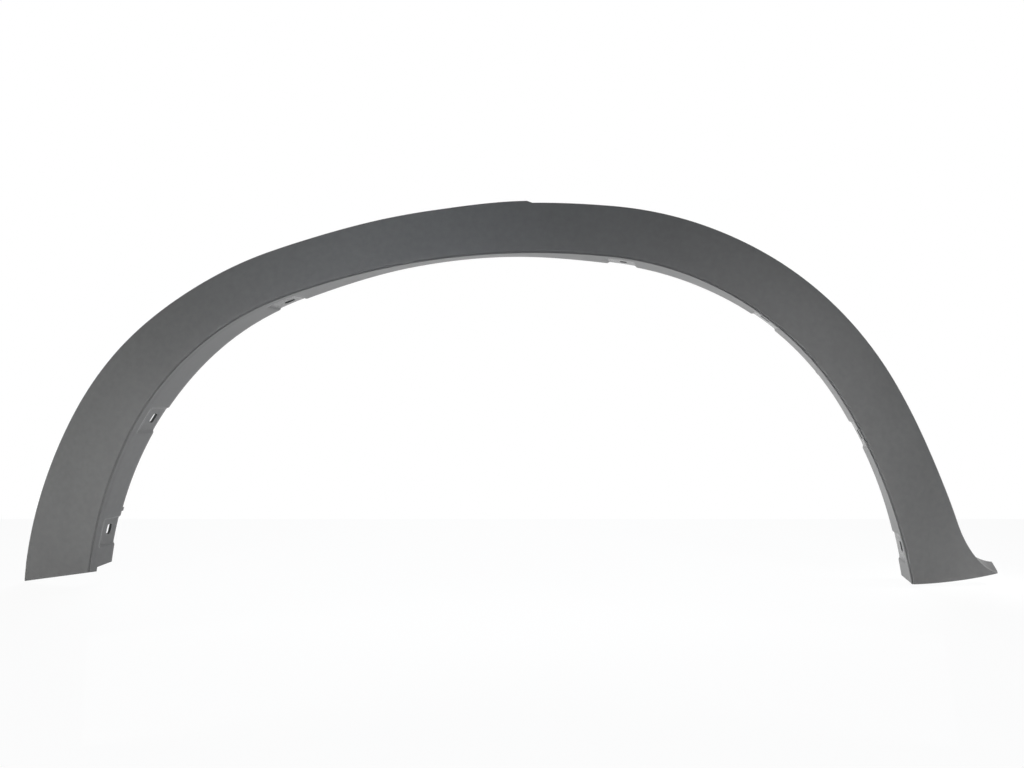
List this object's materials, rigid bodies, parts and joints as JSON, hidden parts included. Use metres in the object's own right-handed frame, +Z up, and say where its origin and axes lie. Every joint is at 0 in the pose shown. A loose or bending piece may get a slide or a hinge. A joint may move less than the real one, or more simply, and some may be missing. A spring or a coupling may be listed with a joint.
{
  "type": "wheel arch trim",
  "caption": "Moulded plastic wheel arch trim: a curved band with an inner flange, slotted clip pads, a grooved seam, hidden clip seats and a flared foot at the sill.",
  "frame": {"origin": "on the axis of the top locating pin, in the plane of the body panel that the pin enters", "axes": "+X along the car from the bumper end to the sill foot, +Y into the body, +Z up"},
  "size_m": [1.0058, 0.0605, 0.3922],
  "materials": {
    "trim_plastic": "matt, fine moulded grain"
  },
  "bodies": {
    "root": {"arch_trim": "trim_plastic"}
  },
  "joints": []
}
